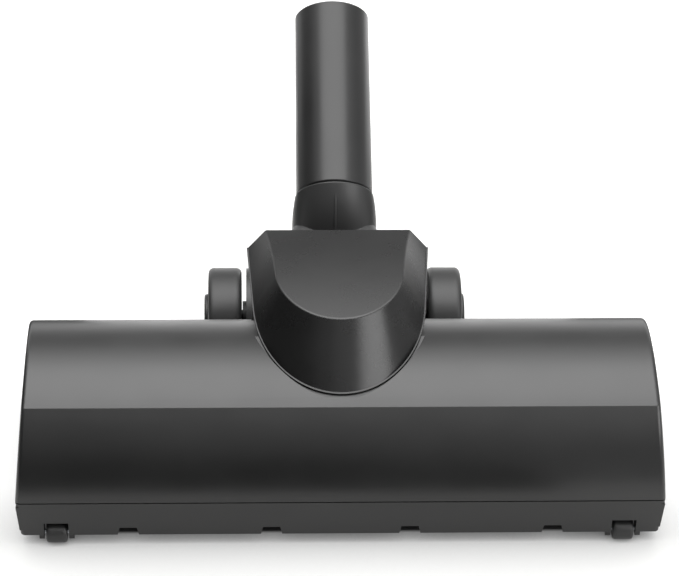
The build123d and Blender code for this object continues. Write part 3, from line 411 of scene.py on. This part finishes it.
for row, node in enumerate(("bristle_row_a", "bristle_row_b")):
    chance = random.Random(STRAND_SEED + row)
    bm = bmesh.new()
    for side in (-1, 1):
        for i in range(TUFT_COUNT):
            x = FIRST_TUFT + i * TUFT_PITCH
            if side > 0 and abs(x - belt_x) < BELT_ROOM:
                continue
            spin = Matrix.Rotation(math.radians(180 * row + TWIST * x), 4, "X")
            hole = Matrix.Translation((0, 0, (CORE_R - HOLE_DEPTH) * MM))
            seat = Matrix.Translation(roll_axis + Vector((side * x * MM, 0, 0))) @ spin @ hole
            bundle(bm, seat, chance)
    strands = piece_from(bm, "bristles_" + node[-1], nylon, "brush_roll")
    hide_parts(node)
    print(strands.name, len(strands.data.polygons), "faces")

# %% [markdown]
# ## Screw heads
# Four screws hold the halves together from below. A pan head with a cross recess is what
# shows. The head starts as a disc, is extruded and bevelled, and its face is cut by planes
# so that the cross can be pushed in, which stays one closed mesh with no boolean.

# %% One cross-recess screw
HEAD_R, HEAD_LOW, HEAD_HIGH, HEAD_ROUND = 3.6, 8.0, 10.4, 0.8      # millimetres
SHANK_R, SHANK_END, SHANK_TAPER = 1.4, 37.4, 0.8
CROSS_HALF, CROSS_REACH, CROSS_DEPTH, CROSS_TAPER = 0.5, 2.1, 1.2, 0.72
LEVEL = 1e-7                                                       # metres: still on the face


def cross_screw(bm, x, y):
    """A pan head facing down, with its cross recess and a plain shank above it."""
    made = bmesh.ops.create_circle(bm, cap_ends=True, segments=32, radius=HEAD_R * MM)
    disc = next(f for f in bm.faces if made["verts"][0] in f.verts)
    raised = bmesh.ops.extrude_face_region(bm, geom=[disc])["geom"]
    top_verts = [g for g in raised if isinstance(g, bmesh.types.BMVert)]
    bmesh.ops.translate(bm, verts=top_verts, vec=(0, 0, (HEAD_HIGH - HEAD_LOW) * MM))
    bmesh.ops.bevel(bm, geom=list(disc.edges), offset=HEAD_ROUND * MM, segments=4, profile=0.5,
                    affect="EDGES", material=-1)
    for axis in (Vector((1, 0, 0)), Vector((0, 1, 0))):
        for cut in (-CROSS_REACH, -CROSS_HALF, CROSS_HALF, CROSS_REACH):
            flat = [f for f in bm.faces if all(abs(v.co.z) < LEVEL for v in f.verts)]
            edges = list({e for f in flat for e in f.edges})
            verts = list({v for f in flat for v in f.verts})
            bmesh.ops.bisect_plane(bm, geom=flat + edges + verts, plane_co=axis * cut * MM,
                                   plane_no=axis)
    cross = []
    for face in bm.faces:
        middle = face.calc_center_median()
        if any(abs(v.co.z) > LEVEL for v in face.verts):
            continue
        narrow, wide = sorted((abs(middle.x), abs(middle.y)))
        if narrow < CROSS_HALF * MM and wide < CROSS_REACH * MM:
            cross.append(face)
    pushed = bmesh.ops.extrude_face_region(bm, geom=cross)["geom"]
    deep = [g for g in pushed if isinstance(g, bmesh.types.BMVert)]
    bmesh.ops.translate(bm, verts=deep, vec=(0, 0, CROSS_DEPTH * MM))
    bmesh.ops.scale(bm, verts=deep, vec=(CROSS_TAPER, CROSS_TAPER, 1))
    bmesh.ops.delete(bm, geom=[f for f in cross if f.is_valid], context="FACES")
    shank = bmesh.ops.create_cone(bm, cap_ends=True, segments=16, radius1=SHANK_R * MM,
                                  radius2=SHANK_R * SHANK_TAPER * MM,
                                  depth=(SHANK_END - HEAD_HIGH) * MM)
    shank_middle = (SHANK_END + HEAD_HIGH) / 2 - HEAD_LOW
    bmesh.ops.translate(bm, verts=shank["verts"], vec=(0, 0, shank_middle * MM))
    bmesh.ops.translate(bm, verts=bm.verts, vec=(x, y, HEAD_LOW * MM))


print("screw length:", round(SHANK_END - HEAD_LOW, 1), "mm")

# %% Four screws in the base
SCREW_X = (-112, -62, 62, 112)                                     # millimetres
screw_low, screw_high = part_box("housing_screws")
screw_y = (screw_low.y + screw_high.y) / 2
whole = bmesh.new()
for x in SCREW_X:
    single = bmesh.new()
    cross_screw(single, x * MM, screw_y)
    bmesh.ops.recalc_face_normals(single, faces=single.faces)
    holder = bpy.data.meshes.new("single_screw")
    single.to_mesh(holder)
    single.free()
    whole.from_mesh(holder)
    bpy.data.meshes.remove(holder)
screws = piece_from(whole, "cross_recess_screws", zinc_steel, "housing")
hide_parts("housing_screws")
print(screws.name, len(screws.data.polygons), "faces")

# %% [markdown]
# ## Lint strip
# Behind the mouth a strip of pressed felt picks up threads. Felt has no sharp edge, so the
# block is bevelled wide on its working side and given short loose fibres that stand out
# from that face, thicker than life so that they show. A hair system would give more of them,
# but not as part of one mesh.

# %% Felt strip
FELT_ROUND = 1.1                                                   # millimetres
FIBRE_COUNT, FIBRE_ROOT_R, FIBRE_TIP_R = 700, 0.08, 0.03
FIBRE_LENGTHS, FIBRE_TILT = (0.3, 0.7), 0.9                        # millimetres, radians
CLEAR_OF_END, CLEAR_OF_SIDE, ROOTED = 1.5, 1.2, 0.05               # millimetres
FIBRE_SEED = 5

strip_low, strip_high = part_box("lint_strip")
strip_size, strip_middle = strip_high - strip_low, (strip_high + strip_low) / 2
bm = bmesh.new()
bmesh.ops.create_cube(bm, size=1.0)
bmesh.ops.scale(bm, verts=bm.verts, vec=strip_size)
low_edges = [e for e in bm.edges if all(v.co.z < 0 for v in e.verts)]
bmesh.ops.bevel(bm, geom=low_edges, offset=FELT_ROUND * MM, segments=4, profile=0.5,
                affect="EDGES", material=-1)
bmesh.ops.translate(bm, verts=bm.verts, vec=strip_middle)
chance = random.Random(FIBRE_SEED)
for k in range(FIBRE_COUNT):
    length = chance.uniform(*FIBRE_LENGTHS) * MM
    x = chance.uniform(strip_low.x + CLEAR_OF_END * MM, strip_high.x - CLEAR_OF_END * MM)
    y = chance.uniform(strip_low.y + CLEAR_OF_SIDE * MM, strip_high.y - CLEAR_OF_SIDE * MM)
    tip_over = Matrix.Rotation(chance.uniform(-FIBRE_TILT, FIBRE_TILT), 4, "X")
    tip_along = Matrix.Rotation(chance.uniform(-FIBRE_TILT, FIBRE_TILT), 4, "Y")
    root = Matrix.Translation((x, y, strip_low.z + ROOTED * MM))
    bmesh.ops.create_cone(bm, cap_ends=True, segments=3, radius1=FIBRE_ROOT_R * MM,
                          radius2=FIBRE_TIP_R * MM, depth=length,
                          matrix=root @ tip_over @ tip_along)
strip = piece_from(bm, "felt_strip", red_felt, "housing")
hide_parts("lint_strip")
print(strip.name, len(strip.data.polygons), "faces")

# %% [markdown]
# ## Floor
# The object stands on a plain pale floor. The floor reads as white to the camera and still
# takes the shadow, because part of its brightness is its own and part is what falls on it.
# Its own light fades close to the object, where little light reaches a real floor, and is
# lower in front of the base, which is painted shadow; it grows far away, where the lamps fall
# off. An occlusion node also darkens the floor's colour near the object, a painted contact
# shadow. More lamps could whiten the floor too, but they would also light the object. From
# below, the floor is clear, so that the brush can be looked at.

# %% Light of the floor itself
FLOOR_COLOUR = "#dededc"
# The occlusion reach and the front and rear own light below set a painted shadow on the floor.
SHADOW_REACH = 92 * MM                       # how far the object darkens the floor around it
FRONT_FROM, FRONT_TO = -125 * MM, -85 * MM   # in front of the base the floor is a little darker
OWN_FRONT, OWN_REAR = 0.43, 0.72
DEEP_SHADE, OPEN_FLOOR = 0.06, 0.54          # least own light, and the openness that gives it all
FAR_FROM, FAR_TO, FAR_LIGHT = 280 * MM, 800 * MM, 0.8


def seen_rays(tree):
    """1 for what the camera, gloss and glass see, and 0 for light that falls on matt things."""
    path = add(tree, "ShaderNodeLightPath").outputs
    seen = path["Is Camera Ray"]
    for ray in ("Is Glossy Ray", "Is Transmission Ray"):
        seen = add(tree, "ShaderNodeMath", {"operation": "MAXIMUM"},
                   {0: seen, 1: path[ray]}).outputs["Value"]
    return seen


pale_floor, tree = blank("pale_floor")
# Painted contact shadow: occlusion darkens the floor's colour near the object.
near = add(tree, "ShaderNodeAmbientOcclusion", {"samples": 16},
           {"Color": linear(FLOOR_COLOUR), "Distance": SHADOW_REACH})
matt = add(tree, "ShaderNodeBsdfDiffuse", None, {"Color": near.outputs["Color"]})
place_on = add(tree, "ShaderNodeTexCoord").outputs["Object"]
axis = add(tree, "ShaderNodeSeparateXYZ", None, {"Vector": place_on}).outputs
# Painted shade: the floor's own light is lower in front of the base.
painted_front_shade = add(tree, "ShaderNodeMapRange", None,
            {"Value": axis["Y"], "From Min": FRONT_FROM, "From Max": FRONT_TO,
             "To Min": OWN_FRONT, "To Max": OWN_REAR})
# Painted shadow: the floor's own light fades where the occlusion is deep.
under = add(tree, "ShaderNodeMapRange", None,
            {"Value": near.outputs["AO"], "From Max": OPEN_FLOOR, "To Min": DEEP_SHADE})
close = add(tree, "ShaderNodeMath", {"operation": "MULTIPLY"},
            {0: painted_front_shade.outputs["Result"], 1: under.outputs["Result"]})
radius = add(tree, "ShaderNodeVectorMath", {"operation": "LENGTH"}, {0: place_on})
distant = add(tree, "ShaderNodeMapRange", None,
              {"Value": radius.outputs["Value"], "From Min": FAR_FROM, "From Max": FAR_TO,
               "To Max": FAR_LIGHT})
far = add(tree, "ShaderNodeMath", {"operation": "MULTIPLY"},
          {0: distant.outputs["Result"],
           1: add(tree, "ShaderNodeLightPath").outputs["Is Camera Ray"]})
own_light = add(tree, "ShaderNodeMath", {"operation": "ADD"},
                {0: close.outputs["Value"], 1: far.outputs["Value"]})
glow = add(tree, "ShaderNodeEmission", None,
           {"Color": linear("#ffffff"), "Strength": own_light.outputs["Value"]})
none = add(tree, "ShaderNodeEmission", None, {"Strength": 0.0})
own = add(tree, "ShaderNodeMixShader", None,
          {0: seen_rays(tree), 1: none.outputs["Emission"], 2: glow.outputs["Emission"]})
lit = add(tree, "ShaderNodeAddShader", None, {0: matt.outputs["BSDF"], 1: own.outputs["Shader"]})
print("floor:", pale_floor.name, "with", len(tree.nodes), "nodes so far")

# %% [markdown]
# ## Floor under the head
# The notches in the base look dark in their upper half, because the floor seen through them
# lies deep under the head. In this bright studio that floor still comes out pale, so a strip
# of it that the head always covers is painted a darker grey. Less light would darken it too,
# but it would also darken the object.

# %% Dark strip and the floor's mesh
STRIP_COLOUR = "#606060"
STRIP_SIDE = 126 * MM, 132 * MM              # each edge of the strip fades over a few millimetres
STRIP_FRONT = -117.0 * MM, -115.2 * MM
STRIP_REAR = -108 * MM, -98 * MM
FLOOR_HALF = 12                              # metres

from_middle = add(tree, "ShaderNodeMath", {"operation": "ABSOLUTE"}, {0: axis["X"]})
beside = add(tree, "ShaderNodeMapRange", None,
             {"Value": from_middle.outputs["Value"], "From Min": STRIP_SIDE[0],
              "From Max": STRIP_SIDE[1]})
before = add(tree, "ShaderNodeMapRange", None,
             {"Value": axis["Y"], "From Min": STRIP_FRONT[0], "From Max": STRIP_FRONT[1],
              "To Min": 1.0, "To Max": 0.0})
behind = add(tree, "ShaderNodeMapRange", None,
             {"Value": axis["Y"], "From Min": STRIP_REAR[0], "From Max": STRIP_REAR[1]})
outside = beside.outputs["Result"]
for edge in (before, behind):
    outside = add(tree, "ShaderNodeMath", {"operation": "MAXIMUM"},
                  {0: outside, 1: edge.outputs["Result"]}).outputs["Value"]
dark = add(tree, "ShaderNodeBsdfDiffuse", None, {"Color": linear(STRIP_COLOUR)})
top = add(tree, "ShaderNodeMixShader", None,
          {0: outside, 1: dark.outputs["BSDF"], 2: lit.outputs["Shader"]})
clear = add(tree, "ShaderNodeBsdfTransparent")
one_sided = add(tree, "ShaderNodeMixShader", None,
                {0: add(tree, "ShaderNodeNewGeometry").outputs["Backfacing"],
                 1: top.outputs["Shader"], 2: clear.outputs["BSDF"]})
add(tree, "ShaderNodeOutputMaterial", None, {"Surface": one_sided.outputs["Shader"]})

bm = bmesh.new()
bmesh.ops.create_grid(bm, x_segments=1, y_segments=1, size=FLOOR_HALF)
floor = object_from(bm, "floor", pale_floor)
print("floor:", 2 * FLOOR_HALF, "m wide,", len(tree.nodes), "nodes")

# %% [markdown]
# ## Light
# Two softboxes, a large one overhead and a smaller one at the right, and a faint white world
# light everything at a plain level, at which a colour renders about as it is written. The
# camera and reflections see the world as white, which gives the white background. A picture
# of a studio could light it as well, but plain lamps keep every value in the script.

# %% White room
WORLD_FILL, WORLD_SEEN = 0.3, 1.0

world = bpy.data.worlds.new("white_room")
bpy.context.scene.world = world
world.use_nodes = True
tree = world.node_tree
tree.nodes.clear()
fill = add(tree, "ShaderNodeBackground", None,
           {"Color": linear("#ffffff"), "Strength": WORLD_FILL})
white = add(tree, "ShaderNodeBackground", None,
            {"Color": linear("#ffffff"), "Strength": WORLD_SEEN})
room = add(tree, "ShaderNodeMixShader", None,
           {0: seen_rays(tree), 1: fill.outputs["Background"], 2: white.outputs["Background"]})
add(tree, "ShaderNodeOutputWorld", None, {"Surface": room.outputs["Shader"]})
print("world:", world.name, "fill", WORLD_FILL)

# %% [markdown]
# ## Softboxes and cards
# Black plastic shows its form only by what it reflects, so a studio sets cards around it.
# Each softbox has a bright card just in front of it, and more stand around the object:
# bright ones behind it for the ridge, and dark ones in front and beside it for the deep
# bands below the crease. Only reflections see the cards, so they neither stand in the
# picture nor light the floor, and the lamps themselves are left out of reflections.

# %% How a card and a softbox are made
CARD_GAP = 0.01                              # metres from a softbox to the card before it


def card(name, shades, low, high, width):
    """A reflector that only reflections see, leaning from low to high and shaded on the way."""
    low, high = Vector(low), Vector(high)
    rise = high - low
    climb = rise / rise.length_squared
    paper, tree = blank(name + "_paper")
    place_on = add(tree, "ShaderNodeTexCoord").outputs["Object"]
    height = add(tree, "ShaderNodeVectorMath", {"operation": "DOT_PRODUCT"},
                 {0: place_on, 1: climb})
    shade = add(tree, "ShaderNodeMapRange", None,
                {"Value": height.outputs["Value"], "From Min": low.dot(climb),
                 "From Max": high.dot(climb), "To Min": shades[0], "To Max": shades[1]})
    tone = add(tree, "ShaderNodeEmission", None,
               {"Color": linear("#ffffff"), "Strength": shade.outputs["Result"]})
    add(tree, "ShaderNodeOutputMaterial", None, {"Surface": tone.outputs["Emission"]})
    sideways = rise.cross(Vector((0, 0, 1))).normalized()
    across = Matrix((sideways * width, rise, sideways.cross(rise).normalized())).transposed()
    bm = bmesh.new()
    bmesh.ops.create_grid(bm, x_segments=1, y_segments=1, size=0.5)
    bmesh.ops.transform(bm, verts=bm.verts,
                        matrix=Matrix.Translation((low + high) / 2) @ across.to_4x4())
    made = object_from(bm, name, paper)
    made.visible_camera = made.visible_shadow = False
    made.visible_diffuse = made.visible_transmission = False


def softbox(name, card_name, place, aim, width, height, brightness, shine):
    """A rectangular lamp for matt surfaces, with a card in front of it for reflections."""
    lamp = bpy.data.lights.new(name, "AREA")
    lamp.shape = "RECTANGLE"
    lamp.size, lamp.size_y = width, height
    lamp.energy = brightness * math.pi * width * height
    made = bpy.data.objects.new(name, lamp)
    bpy.context.scene.collection.objects.link(made)
    facing = (Vector(aim) - Vector(place)).to_track_quat("-Z", "Y").to_matrix()
    made.matrix_world = Matrix.Translation(place) @ facing.to_4x4()
    made.visible_glossy = False
    middle = Vector(place) + facing @ Vector((0, 0, -CARD_GAP))
    half = facing @ Vector((0, height / 2, 0))
    card(card_name, (shine, shine), middle - half, middle + half, width)


print("a card stands", CARD_GAP / MM, "mm before its softbox")

# %% The lamps and cards of this studio, in metres
softbox("overhead_softbox", "overhead_card", (0, -0.04, 1.05), (0, -0.04, 0), 1.25, 0.94,
        brightness=3.0, shine=5.2)
softbox("right_softbox", "right_front_card", (0.97, -0.64, 0.56), (0, -0.08, 0.08), 1.2, 0.5,
        brightness=2.4, shine=4.8)
# Above and behind, for the cover's crown and the top of the hood.
card("rear_card", (3.6, 0.2), (0, 0.43, 1.05), (0, 1.35, 1.0), 1.6)
card("back_screen", (0.45, 0.45), (0, 1.5, 0.36), (0, 1.55, 1.05), 1.6)
# On the floor behind, for the bright line of the ridge.
card("horizon_card", (1.4, 1.4), (0, 0.62, 0.003), (0, 1.6, 0.22), 1.2)
card("rear_near_card", (1.9, 1.9), (0, 0.2, 0.004), (0, 0.335, 0.004), 0.24)
card("rear_floor_card", (1.9, 1.8), (0.2, 0.335, 0.004), (0.2, 0.62, 0.004), 0.64)
# In front, for the band below the crease: dark at its foot and lighter upwards.
card("front_floor_card", (0.01, 0.01), (-0.45, -0.175, 0.002), (-0.45, -0.85, 0.10), 1.1)
card("right_floor_card", (0.5, 0.5), (0.75, -0.205, 0.002), (0.75, -0.85, 0.10), 1.3)
card("front_screen", (0.24, 1.0), (0.875, -1.5, 0.06), (0.875, -1.1, 1.9), 2.25)
card("front_left_screen", (0.12, 0.45), (-1.25, -1.5, 0.06), (-1.25, -1.1, 1.9), 2.0)
# At the sides, for the hood's bevel, the wheels and the edges of the pipe.
card("left_card", (0.06, 0.06), (-0.48, -0.14, 0.002), (-0.87, -0.23, 0.75), 1.5)
card("right_card", (0.6, 0.6), (0.48, 0.10, 0.002), (0.87, 0.16, 0.6), 0.8)
card("left_near_card", (0.0, 0.0), (-0.46, 0.0, 0.003), (-0.46, 0.15, 0.003), 0.68)
card("left_rear_card", (0.0, 2.1), (-0.46, 0.15, 0.003), (-0.46, 0.70, 0.006), 0.68)
card("right_near_card", (0.0, 0.0), (0.46, 0.0, 0.003), (0.46, 0.12, 0.003), 0.68)
card("right_rear_card", (0.0, 2.3), (0.46, 0.12, 0.003), (0.46, 0.33, 0.005), 0.68)

# %% [markdown]
# ## View settings
# The Standard view transform shows colours as they are written, where the default would grey
# the whites.

# %% Finish
bpy.context.scene.view_settings.view_transform = "Standard"
